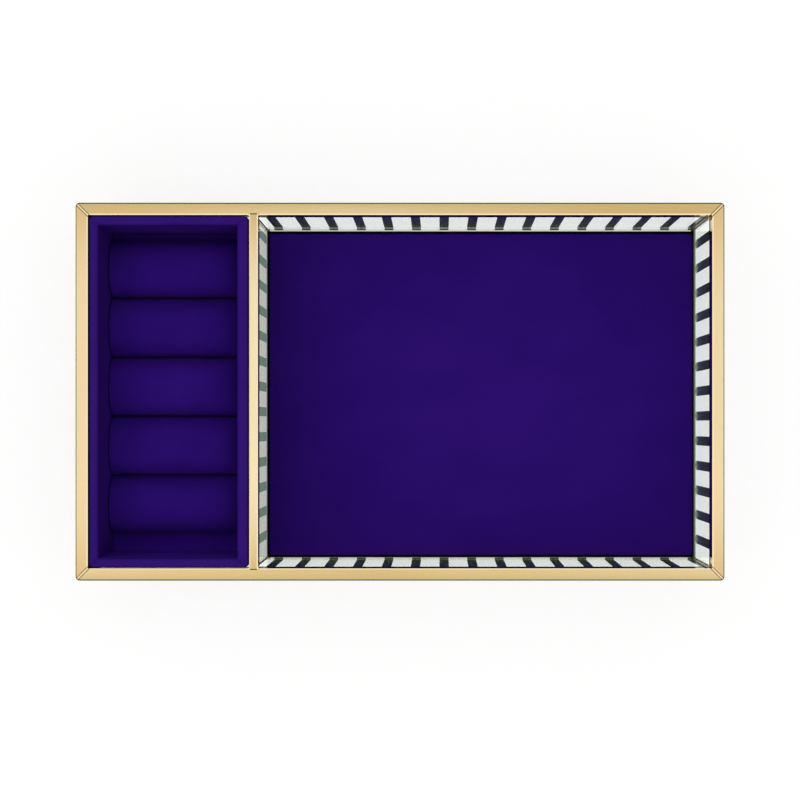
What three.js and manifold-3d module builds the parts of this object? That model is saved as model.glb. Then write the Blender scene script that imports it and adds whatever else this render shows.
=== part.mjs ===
// Glass jewelry box with a brass frame, walls of V-cut glass and no lid.
// A brass-capped glass divider splits it in two. The wide side has a drop-in velvet floor pad,
// and the narrow side holds a lift-out velvet tray with a row of ring rolls.
// Millimetres, +Z up, +Y to the back. The origin is the middle of the underside.

import * as THREE from 'three';
import { mergeVertices } from 'three/addons/utils/BufferGeometryUtils.js';
import Module from 'manifold-3d';

// Overall size, up to the top of the brass rim
const BOX_LENGTH = 260;
const BOX_WIDTH = 151.4;
const BOX_HEIGHT = 50;

// Brass frame: a channel over the glass at the rim, posts at the corners, a low sill under the glass
const BRASS_SHEET = 0.9;
const RIM_FACE = 4.9;
const RIM_SKIRT = 6.5;
const RIM_LIP = 6;
const OUTER_CHAMFER_WIDTH = 0.45;
const OUTER_CHAMFER_DROP = 0.32;
const INNER_CHAMFER_WIDTH = 0.5;
const INNER_CHAMFER_DROP = 0.2;
const POST_LEG = 5;
const SILL_LEDGE = 7;
const FRAME_CORNER_RADIUS = 1.6;
const BRASS_EDGE_RADIUS = 0.6;
const MITRE_GAP = 0.25;
const BEAD_WIDTH = 0.7;
const SEAM_DIAMETER = 0.7;

// Glass walls with vertical V cuts on their outer faces
const GLASS_THICKNESS = 3.8;
const GLASS_BED = 0.3;
const CUT_WIDTH = 3.9;
const CUT_DEPTH = 1.95;
const LONG_CUT_PITCH = 11.84;
const SHORT_CUT_PITCH = 10.54;
const SHORT_CUT_SHIFT = 1;

// Base board that the glass, the divider, the pad and the tray stand on
const BASE_THICKNESS = 2.6;

// Divider: a thinner V-cut pane in a brass channel whose lips lap over the rim
const DIVIDER_X = -58.6;
const CAP_WIDTH = 3.5;
const CAP_SHEET = 0.5;
const CAP_RIGHT_SKIRT = 1.2;
const CAP_SLOT_CLEARANCE = 0.2;
const CAP_SKIRT = 5;
const CAP_LAP = 0.6;
const CAP_FLARE = 0.35;
const CAP_FLARE_LENGTH = 1.2;
const DIVIDER_CUT_DEPTH = 0.17;
const DIVIDER_CUT_SHIFT = 2.8;

// Drop-in floor pad: a board under a thin stuffed velvet pad
const PAD_END_GAP = 1.1;
const PAD_FRONT_GAP = 1.4;
const PAD_BACK_GAP = 2.2;
const PAD_SEAT_GAP = 0.2;
const PAD_CORNER_RADIUS = 1.2;
const PAD_BOARD_THICKNESS = 1.4;
const PAD_THICKNESS = 1.6;
const PAD_CROWN = 0.8;
const PAD_SIDE_DRAW = 0.35;

// Lift-out ring tray: velvet over board walls on a built-up floor
const TRAY_CLEARANCE = 0.2;
const TRAY_DROP = 0.4;
const TRAY_SEAT_GAP = 0.2;
const TRAY_FLOOR = 12.3;
const TRAY_WALL = 3.65;
const TRAY_RIM_RADIUS = 1.4;
const TRAY_CORNER_RADIUS = 1.3;
const TRAY_MITRE_GAP = 0.15;

// Ring rolls: stuffed velvet rolls side by side across the tray, flat where they sit on its floor
const ROLL_DIAMETER = 24.3;
const ROLL_GAP = 0.3;
const ROLL_BACK_GAP = 2.8;
const ROLL_SEAT_DEPTH = 2.1;
const ROLL_END_RADIUS = 1.8;
const ROLL_END_CROWN = 0.4;
const FINGER_GAP = 5;

// Smoothness of round edges and of the soft pieces
const ARC_STEPS = 4;
const SEAM_SIDES = 10;
const ROLL_SIDES = 24;
const ROLL_SHOULDER_STEPS = 3;
const PAD_STEPS = [16, 12, 2];

// Sizes that follow from the ones above
const FRAME_INSET = BRASS_SHEET + GLASS_BED;
const INNER_X = BOX_LENGTH / 2 - FRAME_INSET - GLASS_THICKNESS;
const INNER_Y = BOX_WIDTH / 2 - FRAME_INSET - GLASS_THICKNESS;
const BASE_TOP = BRASS_SHEET + BASE_THICKNESS;
const GLASS_BOTTOM = BASE_TOP + GLASS_BED;
const GLASS_TOP = BOX_HEIGHT - RIM_LIP - GLASS_BED;
const DIVIDER_THICKNESS = CAP_WIDTH - CAP_SHEET - CAP_RIGHT_SKIRT - 2 * CAP_SLOT_CLEARANCE;
const DIVIDER_PANE_X = DIVIDER_X + (CAP_SHEET - CAP_RIGHT_SKIRT) / 2;
const DIVIDER_LENGTH = 2 * (INNER_Y - GLASS_BED);
const CAP_REACH = CAP_WIDTH / 2 + CAP_FLARE;

const wasm = await Module();
wasm.setup();

const BRASS = { color: 0xdcc088, roughness: 0.28, metalness: 1 };
const CLEAR_GLASS = { color: 0xdcebe6, roughness: 0.03, metalness: 0 };
const DARK_BOARD = { color: 0x15121a, roughness: 0.9, metalness: 0 };
const PALE_BOARD = { color: 0xd9d6cc, roughness: 0.85, metalness: 0 };
const PURPLE_VELVET = { color: 0x260d62, roughness: 0.95, metalness: 0 };

const jewelryBox = new THREE.Group();
const ringTray = new THREE.Group();
const floorPad = new THREE.Group();
jewelryBox.add(ringTray, floorPad);

function addPiece(parent, name, geometry, finish) {
  const mesh = new THREE.Mesh(geometry, new THREE.MeshStandardMaterial(finish));
  mesh.name = name;
  parent.add(mesh);
  return mesh;
}

// Solid joins and cuts

function toSolid(geometry) {
  const bare = geometry.clone();
  bare.deleteAttribute('normal');
  bare.deleteAttribute('uv');
  const merged = mergeVertices(bare);
  const vertProperties = new Float32Array(merged.attributes.position.array);
  const triVerts = new Uint32Array(merged.index.array);
  return new wasm.Manifold(new wasm.Mesh({ numProp: 3, vertProperties, triVerts }));
}

function toGeometry(solid) {
  const mesh = solid.getMesh();
  const geometry = new THREE.BufferGeometry();
  geometry.setAttribute('position', new THREE.BufferAttribute(new Float32Array(mesh.vertProperties), 3));
  geometry.setIndex(new THREE.BufferAttribute(new Uint32Array(mesh.triVerts), 1));
  geometry.computeVertexNormals();
  return geometry;
}

// Plain building shapes

function polygon(points) {
  return new THREE.Shape(points.map(([x, y]) => new THREE.Vector2(x, y)));
}

function roundedRectangle(length, width, radius) {
  const x = length / 2 - radius;
  const y = width / 2 - radius;
  const shape = new THREE.Shape();
  shape.absarc(x, y, radius, 0, Math.PI / 2);
  shape.absarc(-x, y, radius, Math.PI / 2, Math.PI);
  shape.absarc(-x, -y, radius, Math.PI, 1.5 * Math.PI);
  shape.absarc(x, -y, radius, 1.5 * Math.PI, 2 * Math.PI);
  return shape;
}

function upright(shape, bottom, top) {
  const geometry = new THREE.ExtrudeGeometry(shape, {
    depth: top - bottom,
    bevelEnabled: false,
    curveSegments: ARC_STEPS,
  });
  return geometry.translate(0, 0, bottom);
}

// An upright block with round corners and a chamfer round its top edge
function chamferedBlock(shape, bottom, top, chamfer) {
  const geometry = new THREE.ExtrudeGeometry(shape, {
    depth: top - bottom - 2 * chamfer.drop,
    bevelSize: chamfer.width,
    bevelOffset: -chamfer.width,
    bevelThickness: chamfer.drop,
    bevelSegments: 1,
    curveSegments: ARC_STEPS,
  });
  return geometry.translate(0, 0, bottom + chamfer.drop);
}

// A section drawn inward from the outer face and up from the ground, run along X
function runAlongX(section, length, halfDepth) {
  const geometry = new THREE.ExtrudeGeometry(section, {
    depth: length,
    bevelEnabled: false,
    curveSegments: ARC_STEPS,
  });
  const turn = new THREE.Matrix4().makeBasis(
    new THREE.Vector3(0, 1, 0),
    new THREE.Vector3(0, 0, 1),
    new THREE.Vector3(1, 0, 0),
  );
  return geometry.applyMatrix4(turn).translate(-length / 2, -halfDepth, 0);
}

// Four-sided frames of mitred bars. Each bar is drawn as the front one and turned to its side.

const SIDES = [
  { name: 'front', turn: 0, isLong: true },
  { name: 'right', turn: Math.PI / 2, isLong: false },
  { name: 'back', turn: Math.PI, isLong: true },
  { name: 'left', turn: 1.5 * Math.PI, isLong: false },
];

function mitredBar(section, side, frame) {
  const length = side.isLong ? frame.length : frame.width;
  const depth = side.isLong ? frame.width : frame.length;
  const halfDepth = depth / 2;
  const endX = length / 2 - frame.mitreGap * Math.SQRT2;
  const wedge = upright(polygon([
    [-endX, -halfDepth],
    [endX, -halfDepth],
    [endX - frame.reach, frame.reach - halfDepth],
    [frame.reach - endX, frame.reach - halfDepth],
  ]), frame.bottom, frame.top);
  const plan = roundedRectangle(length, depth, frame.radius);
  const outline = frame.chamfer
    ? chamferedBlock(plan, frame.bottom, BOX_HEIGHT, frame.chamfer)
    : upright(plan, frame.bottom, frame.top);
  const bar = toSolid(runAlongX(section, length, halfDepth));
  return toGeometry(bar.intersect(toSolid(wedge)).intersect(toSolid(outline)));
}

// Brass rim: the outer skirt meets the posts, and the inner lip ends just above the glass

function rimSection() {
  const underside = BOX_HEIGHT - BRASS_SHEET;
  return polygon([
    [0, BOX_HEIGHT - RIM_SKIRT],
    [BRASS_SHEET, BOX_HEIGHT - RIM_SKIRT],
    [BRASS_SHEET, underside],
    [RIM_FACE - BRASS_SHEET, underside],
    [RIM_FACE - BRASS_SHEET, BOX_HEIGHT - RIM_LIP],
    [RIM_FACE, BOX_HEIGHT - RIM_LIP],
    [RIM_FACE, BOX_HEIGHT - INNER_CHAMFER_DROP],
    [RIM_FACE - INNER_CHAMFER_WIDTH, BOX_HEIGHT],
    [OUTER_CHAMFER_WIDTH, BOX_HEIGHT],
    [0, BOX_HEIGHT - OUTER_CHAMFER_DROP],
  ]);
}

const RIM_FRAME = {
  length: BOX_LENGTH,
  width: BOX_WIDTH,
  radius: FRAME_CORNER_RADIUS,
  reach: RIM_FACE + BRASS_SHEET,
  mitreGap: MITRE_GAP + BEAD_WIDTH / 2,
  chamfer: { width: OUTER_CHAMFER_WIDTH, drop: OUTER_CHAMFER_DROP },
  bottom: BOX_HEIGHT - RIM_SKIRT - BRASS_SHEET,
  top: BOX_HEIGHT + BRASS_SHEET,
};

function addRim() {
  for (const side of SIDES) {
    const bar = addPiece(jewelryBox, `rim_${side.name}`, mitredBar(rimSection(), side, RIM_FRAME), BRASS);
    bar.rotation.z = side.turn;
  }
}

// The solder bead in one corner mitre: the rim's own section inside a thin diagonal slab
function beadGeometry(cornerX, cornerY) {
  const front = toSolid(runAlongX(rimSection(), BOX_LENGTH, BOX_WIDTH / 2));
  const right = toSolid(runAlongX(rimSection(), BOX_WIDTH, BOX_LENGTH / 2).rotateZ(Math.PI / 2));
  const plan = roundedRectangle(BOX_LENGTH, BOX_WIDTH, FRAME_CORNER_RADIUS);
  const outline = toSolid(chamferedBlock(plan, RIM_FRAME.bottom, BOX_HEIGHT, RIM_FRAME.chamfer));
  const reach = 2 * RIM_FRAME.reach;
  const slab = new THREE.BoxGeometry(2 * reach, BEAD_WIDTH, 2 * (RIM_SKIRT + BRASS_SHEET));
  slab.rotateZ(-Math.PI / 4).translate(BOX_LENGTH / 2, -BOX_WIDTH / 2, BOX_HEIGHT);
  const bead = front.add(right).intersect(outline).intersect(toSolid(slab));
  return toGeometry(bead).scale(cornerX, -cornerY, 1);
}

const CORNERS = [
  { name: 'front_left', x: -1, y: -1 },
  { name: 'front_right', x: 1, y: -1 },
  { name: 'back_left', x: -1, y: 1 },
  { name: 'back_right', x: 1, y: 1 },
];

// Mirroring once turns a mesh inside out, so its triangles are turned back
function turnedOut(geometry) {
  const index = geometry.index.array;
  for (let corner = 0; corner < index.length; corner += 3) {
    const second = index[corner + 1];
    index[corner + 1] = index[corner + 2];
    index[corner + 2] = second;
  }
  geometry.computeVertexNormals();
  return geometry;
}

function addMitreBeads() {
  for (const corner of CORNERS) {
    const bead = beadGeometry(corner.x, corner.y);
    const isMirrored = corner.x * -corner.y < 0;
    addPiece(jewelryBox, `rim_bead_${corner.name}`, isMirrored ? turnedOut(bead) : bead, BRASS);
  }
}

// Corner posts: angles that stand on the ground and carry the rim's skirt

function addPosts() {
  const inner = Math.max(FRAME_CORNER_RADIUS - BRASS_SHEET, BRASS_EDGE_RADIUS);
  const angle = new THREE.Shape();
  angle.moveTo(0, POST_LEG);
  angle.lineTo(0, FRAME_CORNER_RADIUS);
  angle.absarc(FRAME_CORNER_RADIUS, FRAME_CORNER_RADIUS, FRAME_CORNER_RADIUS, Math.PI, 1.5 * Math.PI);
  angle.lineTo(POST_LEG, 0);
  angle.lineTo(POST_LEG, BRASS_SHEET);
  angle.lineTo(BRASS_SHEET + inner, BRASS_SHEET);
  angle.absarc(BRASS_SHEET + inner, BRASS_SHEET + inner, inner, 1.5 * Math.PI, Math.PI, true);
  angle.lineTo(BRASS_SHEET, POST_LEG);
  angle.closePath();
  const turns = { front_left: 0, front_right: 1, back_right: 2, back_left: 3 };
  for (const corner of CORNERS) {
    const post = addPiece(
      jewelryBox, `corner_post_${corner.name}`, upright(angle, 0, BOX_HEIGHT - RIM_SKIRT), BRASS,
    );
    post.rotation.z = turns[corner.name] * Math.PI / 2;
    post.position.set(corner.x * BOX_LENGTH / 2, corner.y * BOX_WIDTH / 2, 0);
  }
}

// Sill: a low angle under the glass, flush with its outer face, whose ledge carries the base board

function addSill() {
  const section = polygon([
    [0, 0],
    [SILL_LEDGE, 0],
    [SILL_LEDGE, BRASS_SHEET],
    [BRASS_SHEET, BRASS_SHEET],
    [BRASS_SHEET, BASE_TOP],
    [0, BASE_TOP],
  ]);
  const frame = {
    length: BOX_LENGTH - 2 * FRAME_INSET,
    width: BOX_WIDTH - 2 * FRAME_INSET,
    radius: FRAME_CORNER_RADIUS,
    reach: SILL_LEDGE + BRASS_SHEET,
    mitreGap: MITRE_GAP,
    bottom: -BRASS_SHEET,
    top: BASE_TOP + BRASS_SHEET,
  };
  for (const side of SIDES) {
    const bar = addPiece(jewelryBox, `sill_${side.name}`, mitredBar(section, side, frame), BRASS);
    bar.rotation.z = side.turn;
  }
}

function addBasePanel() {
  const inset = FRAME_INSET + BRASS_SHEET + GLASS_BED;
  const board = roundedRectangle(BOX_LENGTH - 2 * inset, BOX_WIDTH - 2 * inset, FRAME_CORNER_RADIUS);
  addPiece(jewelryBox, 'base_panel', upright(board, BRASS_SHEET, BASE_TOP), DARK_BOARD);
}

// Glass panes, seen from above: the inner face is flat and the outer one has the V cuts

function paneOutline(length, thickness, pitch, cutDepth, shift) {
  const cutCount = Math.floor((length - CUT_WIDTH) / pitch) + 1;
  const points = [[length / 2, thickness], [-length / 2, thickness], [-length / 2, 0]];
  for (let cut = 0; cut < cutCount; cut += 1) {
    const middle = (cut - (cutCount - 1) / 2) * pitch + shift;
    points.push([middle - CUT_WIDTH / 2, 0], [middle, cutDepth], [middle + CUT_WIDTH / 2, 0]);
  }
  points.push([length / 2, 0]);
  return polygon(points);
}

function addGlassWalls() {
  const longLength = BOX_LENGTH - 2 * FRAME_INSET;
  const shortLength = 2 * (INNER_Y - GLASS_BED);
  const longPane = paneOutline(longLength, GLASS_THICKNESS, LONG_CUT_PITCH, CUT_DEPTH, 0);
  const shortPane = paneOutline(shortLength, GLASS_THICKNESS, SHORT_CUT_PITCH, CUT_DEPTH, SHORT_CUT_SHIFT);
  for (const side of SIDES) {
    const depth = side.isLong ? BOX_WIDTH : BOX_LENGTH;
    const geometry = upright(side.isLong ? longPane : shortPane, GLASS_BOTTOM, GLASS_TOP);
    geometry.translate(0, FRAME_INSET - depth / 2, 0);
    const pane = addPiece(jewelryBox, `glass_${side.name}`, geometry, CLEAR_GLASS);
    pane.rotation.z = side.turn;
  }
}

// Divider: the pane's cut face looks left, to the tray

function addDivider() {
  const outline = paneOutline(
    DIVIDER_LENGTH, DIVIDER_THICKNESS, SHORT_CUT_PITCH, DIVIDER_CUT_DEPTH, -DIVIDER_CUT_SHIFT,
  );
  const pane = upright(outline, GLASS_BOTTOM, BOX_HEIGHT - GLASS_BED);
  pane.translate(0, -DIVIDER_THICKNESS / 2, 0);
  const glass = addPiece(jewelryBox, 'glass_divider', pane, CLEAR_GLASS);
  glass.rotation.z = 1.5 * Math.PI;
  glass.position.x = DIVIDER_PANE_X;
  addPiece(jewelryBox, 'divider_cap', capGeometry(), BRASS).position.x = DIVIDER_X;
}

// The cap is a channel over the pane: a top strip with flared lips, and two skirts between the walls
function capGeometry() {
  const endY = BOX_WIDTH / 2 - RIM_FACE + CAP_LAP;
  const half = CAP_WIDTH / 2;
  const lip = Math.min(BRASS_EDGE_RADIUS, CAP_LAP);
  const strip = polygon([
    [half, CAP_FLARE_LENGTH - endY],
    [half, endY - CAP_FLARE_LENGTH],
    [CAP_REACH, endY - lip],
    [CAP_REACH - lip, endY],
    [lip - CAP_REACH, endY],
    [-CAP_REACH, endY - lip],
    [-half, endY - CAP_FLARE_LENGTH],
    [-half, CAP_FLARE_LENGTH - endY],
    [-CAP_REACH, lip - endY],
    [lip - CAP_REACH, -endY],
    [CAP_REACH - lip, -endY],
    [CAP_REACH, lip - endY],
  ]);
  const skirtLength = DIVIDER_LENGTH;
  const channel = upright(polygon([
    [half, -skirtLength / 2],
    [half, skirtLength / 2],
    [-half, skirtLength / 2],
    [-half, -skirtLength / 2],
  ]), BOX_HEIGHT - CAP_SKIRT, BOX_HEIGHT + CAP_SHEET);
  const slotLeft = CAP_SHEET - half;
  const slotRight = half - CAP_RIGHT_SKIRT;
  const slot = upright(polygon([
    [slotRight, -skirtLength],
    [slotRight, skirtLength],
    [slotLeft, skirtLength],
    [slotLeft, -skirtLength],
  ]), BOX_HEIGHT - 2 * CAP_SKIRT, BOX_HEIGHT);
  const chamfer = { width: INNER_CHAMFER_WIDTH, drop: INNER_CHAMFER_DROP };
  const top = chamferedBlock(strip, BOX_HEIGHT - CAP_SHEET, BOX_HEIGHT + CAP_SHEET, chamfer);
  const above = new THREE.BoxGeometry(BOX_LENGTH, BOX_WIDTH, BOX_HEIGHT);
  above.translate(0, 0, 1.5 * BOX_HEIGHT);
  const skirts = toSolid(channel).subtract(toSolid(slot)).subtract(toSolid(above));
  return toGeometry(skirts.add(toSolid(top).intersect(toSolid(above))));
}

// Thin brass seams in the four inside corners of the wide compartment

function addSeams() {
  const offset = GLASS_BED + SEAM_DIAMETER / 2;
  const dividerFace = DIVIDER_PANE_X + DIVIDER_THICKNESS / 2;
  const places = [
    { name: 'divider_front', x: dividerFace + offset, y: offset - INNER_Y, top: BOX_HEIGHT - CAP_SKIRT },
    { name: 'divider_back', x: dividerFace + offset, y: INNER_Y - offset, top: BOX_HEIGHT - CAP_SKIRT },
    { name: 'front_right', x: INNER_X - offset, y: offset - INNER_Y, top: GLASS_TOP },
    { name: 'back_right', x: INNER_X - offset, y: INNER_Y - offset, top: GLASS_TOP },
  ];
  for (const place of places) {
    const top = place.top - GLASS_BED;
    const radius = SEAM_DIAMETER / 2;
    const rod = new THREE.CylinderGeometry(radius, radius, top - BASE_TOP, SEAM_SIDES);
    rod.rotateX(Math.PI / 2).translate(0, 0, (top + BASE_TOP) / 2);
    addPiece(jewelryBox, `corner_seam_${place.name}`, rod, BRASS).position.set(place.x, place.y, 0);
  }
}

// Floor pad: the board is flat, and the velvet pad on it has a low crown and drawn-in sides

const PAD_LEFT = DIVIDER_X + CAP_WIDTH / 2 + TRAY_CLEARANCE;
const PAD_RIGHT = INNER_X - PAD_END_GAP;
const PAD_LENGTH = PAD_RIGHT - PAD_LEFT;
const PAD_WIDTH = 2 * INNER_Y - PAD_FRONT_GAP - PAD_BACK_GAP;
const PAD_BOARD_BOTTOM = BASE_TOP + PAD_SEAT_GAP;
const PAD_BOTTOM = PAD_BOARD_BOTTOM + PAD_BOARD_THICKNESS;

// Moves a point of the unit square on to a plan with round corners and sides that bow inward
function padPlan(u, v) {
  const halfX = PAD_LENGTH / 2;
  const halfY = PAD_WIDTH / 2;
  const cornerX = Math.max(Math.abs(u) * halfX - (halfX - PAD_CORNER_RADIUS), 0);
  const cornerY = Math.max(Math.abs(v) * halfY - (halfY - PAD_CORNER_RADIUS), 0);
  const reach = Math.max(cornerX, cornerY);
  const spread = Math.hypot(cornerX, cornerY);
  const pull = spread > 0 ? reach / spread : 1;
  const x = Math.sign(u) * (Math.abs(u) * halfX - cornerX + cornerX * pull);
  const y = Math.sign(v) * (Math.abs(v) * halfY - cornerY + cornerY * pull);
  return {
    x: x - u * PAD_SIDE_DRAW * (1 - v * v),
    y: y - v * PAD_SIDE_DRAW * (1 - u * u),
  };
}

function velvetPadGeometry() {
  const geometry = new THREE.BoxGeometry(2, 2, 2, ...PAD_STEPS);
  const position = geometry.attributes.position;
  for (let point = 0; point < position.count; point += 1) {
    const u = position.getX(point);
    const v = position.getY(point);
    const rise = (position.getZ(point) + 1) / 2;
    const plan = padPlan(u, v);
    const fall = (1 - u ** 4) * (1 - v ** 4);
    const edgeDraw = 1 - PAD_SIDE_DRAW * rise * rise / Math.min(PAD_LENGTH, PAD_WIDTH);
    position.setXYZ(
      point,
      plan.x * edgeDraw,
      plan.y * edgeDraw,
      PAD_BOTTOM + rise * (PAD_THICKNESS + PAD_CROWN * fall),
    );
  }
  geometry.deleteAttribute('normal');
  geometry.deleteAttribute('uv');
  const merged = mergeVertices(geometry);
  merged.computeVertexNormals();
  return merged;
}

function addFloorPad() {
  floorPad.position.set((PAD_LEFT + PAD_RIGHT) / 2, (PAD_FRONT_GAP - PAD_BACK_GAP) / 2, 0);
  const board = roundedRectangle(PAD_LENGTH, PAD_WIDTH, PAD_CORNER_RADIUS);
  addPiece(floorPad, 'pad_board', upright(board, PAD_BOARD_BOTTOM, PAD_BOTTOM), DARK_BOARD);
  addPiece(floorPad, 'pad_velvet', velvetPadGeometry(), PURPLE_VELVET);
}

// Ring tray

const TRAY_LEFT = TRAY_CLEARANCE - INNER_X;
const TRAY_RIGHT = DIVIDER_X - CAP_REACH - TRAY_CLEARANCE;
const TRAY_LENGTH = 2 * (INNER_Y - TRAY_CLEARANCE);
const TRAY_WIDTH = TRAY_RIGHT - TRAY_LEFT;
const TRAY_BOTTOM = BASE_TOP + TRAY_SEAT_GAP;
const TRAY_FLOOR_TOP = TRAY_BOTTOM + TRAY_FLOOR;
const TRAY_TOP = BOX_HEIGHT - TRAY_DROP;

function addTrayShell() {
  const floor = roundedRectangle(TRAY_WIDTH, TRAY_LENGTH, TRAY_CORNER_RADIUS);
  addPiece(ringTray, 'tray_floor', upright(floor, TRAY_BOTTOM, TRAY_FLOOR_TOP), PALE_BOARD);
  const radius = Math.min(TRAY_RIM_RADIUS, TRAY_WALL / 2);
  const section = new THREE.Shape();
  section.moveTo(0, TRAY_FLOOR_TOP);
  section.lineTo(TRAY_WALL, TRAY_FLOOR_TOP);
  section.lineTo(TRAY_WALL, TRAY_TOP - radius);
  section.absarc(TRAY_WALL - radius, TRAY_TOP - radius, radius, 0, Math.PI / 2);
  section.absarc(radius, TRAY_TOP - radius, radius, Math.PI / 2, Math.PI);
  section.closePath();
  const frame = {
    length: TRAY_WIDTH,
    width: TRAY_LENGTH,
    radius: TRAY_CORNER_RADIUS,
    reach: 2 * TRAY_WALL,
    mitreGap: TRAY_MITRE_GAP,
    bottom: TRAY_BOTTOM,
    top: TRAY_TOP + TRAY_WALL,
  };
  for (const side of SIDES) {
    const wall = addPiece(ringTray, `tray_wall_${side.name}`, mitredBar(section, side, frame), PURPLE_VELVET);
    wall.rotation.z = side.turn;
  }
}

// A roll turned about its own length, with round shoulders and a slight crown at each end.
// Its underside is cut flat a little below the middle, where it sits on the tray floor.
function rollGeometry(length) {
  const radius = ROLL_DIAMETER / 2;
  const shoulder = Math.min(ROLL_END_RADIUS, radius / 2);
  const profile = new THREE.Path();
  profile.moveTo(0, -length / 2);
  profile.lineTo(radius - shoulder, ROLL_END_CROWN - length / 2);
  profile.absarc(
    radius - shoulder, ROLL_END_CROWN + shoulder - length / 2, shoulder, -Math.PI / 2, 0,
  );
  profile.absarc(radius - shoulder, length / 2 - ROLL_END_CROWN - shoulder, shoulder, 0, Math.PI / 2);
  profile.lineTo(0, length / 2);
  const roll = new THREE.LatheGeometry(profile.getPoints(ROLL_SHOULDER_STEPS), ROLL_SIDES);
  roll.rotateZ(-Math.PI / 2);
  roll.deleteAttribute('normal');
  roll.deleteAttribute('uv');
  const seated = new THREE.BoxGeometry(2 * length, ROLL_DIAMETER * 2, radius * 2);
  seated.translate(0, 0, radius - ROLL_SEAT_DEPTH);
  const closed = mergeVertices(toGeometry(toSolid(roll).intersect(toSolid(seated))));
  closed.computeVertexNormals();
  return closed;
}

function addRingRolls() {
  const pitch = ROLL_DIAMETER + ROLL_GAP;
  const innerBack = TRAY_LENGTH / 2 - TRAY_WALL - ROLL_BACK_GAP;
  const innerLength = TRAY_LENGTH - 2 * TRAY_WALL - ROLL_BACK_GAP;
  const count = Math.floor((innerLength - FINGER_GAP + ROLL_GAP) / pitch);
  const rollLength = TRAY_WIDTH - 2 * (TRAY_WALL + ROLL_GAP);
  for (let row = 0; row < count; row += 1) {
    const roll = addPiece(ringTray, `ring_roll_${row + 1}`, rollGeometry(rollLength), PURPLE_VELVET);
    const middle = innerBack - ROLL_DIAMETER / 2 - row * pitch;
    roll.position.set(0, middle, TRAY_FLOOR_TOP + ROLL_GAP + ROLL_SEAT_DEPTH);
  }
}

addRim();
addMitreBeads();
addPosts();
addSill();
addBasePanel();
addGlassWalls();
addDivider();
addSeams();
addFloorPad();
ringTray.position.x = (TRAY_LEFT + TRAY_RIGHT) / 2;
addTrayShell();
addRingRolls();

export default jewelryBox;
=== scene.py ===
# %% [markdown]
# # A glass jewelry box
# The box has a brass frame, walls of V-cut glass, a velvet floor pad and a velvet tray with a row
# of ring rolls. The frame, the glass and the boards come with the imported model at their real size.
# This lesson gives them their finishes and models the soft velvet pieces around them.

# %% Load the frame
import math
from itertools import product

import bpy
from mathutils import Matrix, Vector, noise


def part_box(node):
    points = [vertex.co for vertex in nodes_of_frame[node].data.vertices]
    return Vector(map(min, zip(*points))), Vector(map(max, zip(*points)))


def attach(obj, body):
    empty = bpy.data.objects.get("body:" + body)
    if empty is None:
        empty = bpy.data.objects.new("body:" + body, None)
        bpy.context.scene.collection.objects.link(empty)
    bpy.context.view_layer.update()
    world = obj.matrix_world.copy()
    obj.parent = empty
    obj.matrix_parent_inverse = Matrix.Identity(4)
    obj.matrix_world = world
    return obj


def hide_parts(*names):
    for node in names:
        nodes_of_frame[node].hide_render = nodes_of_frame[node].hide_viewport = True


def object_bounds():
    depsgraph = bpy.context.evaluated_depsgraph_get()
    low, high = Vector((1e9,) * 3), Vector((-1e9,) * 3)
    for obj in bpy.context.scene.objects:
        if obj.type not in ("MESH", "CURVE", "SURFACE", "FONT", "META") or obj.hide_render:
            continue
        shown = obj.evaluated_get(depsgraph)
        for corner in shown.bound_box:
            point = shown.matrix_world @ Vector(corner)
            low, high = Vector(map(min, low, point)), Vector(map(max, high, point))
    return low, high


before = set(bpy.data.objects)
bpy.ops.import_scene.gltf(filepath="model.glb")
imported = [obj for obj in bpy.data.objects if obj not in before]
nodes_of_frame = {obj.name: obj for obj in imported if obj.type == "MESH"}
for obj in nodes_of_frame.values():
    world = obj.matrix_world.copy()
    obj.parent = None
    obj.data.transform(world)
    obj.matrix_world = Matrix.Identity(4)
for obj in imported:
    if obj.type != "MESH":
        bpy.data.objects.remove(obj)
cad_low, cad_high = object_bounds()
MM = 0.001
print("frame nodes:", len(nodes_of_frame), "size in mm:", [round(x / MM, 1) for x in cad_high - cad_low])

# %% [markdown]
# ## Camera
# The photograph looks straight down, but not quite over the middle of the box: the walls lean away
# from a point right of and below the centre. A camera that looks straight down over that point, with
# a small lens shift to bring the box back to its place, gives the same perspective.

# %% Place the camera over the box
RIM_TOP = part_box("rim_front")[1].z
IMAGE_PIXELS = 800
PIXELS_PER_METRE = 2497
BOX_CENTRE_PIXEL = Vector((400.0, 391.65))
FOOT_PIXEL = Vector((440, 425))
CAMERA_ABOVE_RIM = 0.633
SENSOR_MM = 36

camera_data = bpy.data.cameras.new("overhead_camera")
camera = bpy.data.objects.new("overhead_camera", camera_data)
bpy.context.scene.collection.objects.link(camera)
foot_offset = (FOOT_PIXEL - BOX_CENTRE_PIXEL) / PIXELS_PER_METRE
camera.location = (foot_offset.x, -foot_offset.y, RIM_TOP + CAMERA_ABOVE_RIM)
camera_data.sensor_width = SENSOR_MM
camera_data.lens = SENSOR_MM * CAMERA_ABOVE_RIM * PIXELS_PER_METRE / IMAGE_PIXELS
camera_data.shift_x = 0.5 - FOOT_PIXEL.x / IMAGE_PIXELS
camera_data.shift_y = FOOT_PIXEL.y / IMAGE_PIXELS - 0.5
bpy.context.scene.camera = camera
print("lens in mm:", round(camera_data.lens, 1))

# %% [markdown]
# ## Tools for the finishes
# Every finish is a Principled shader with a few texture nodes in front of it. These helpers place the
# nodes and wire them up, so that each material below reads as a short recipe.

# %% Helpers for node recipes


def new_material(name, **values):
    """A material with one Principled shader, whose sockets are set by name."""
    material = bpy.data.materials.new(name)
    material.use_nodes = True
    shader = material.node_tree.nodes["Principled BSDF"]
    for socket, value in values.items():
        shader.inputs[socket.replace("_", " ")].default_value = value
    return material, shader


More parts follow.
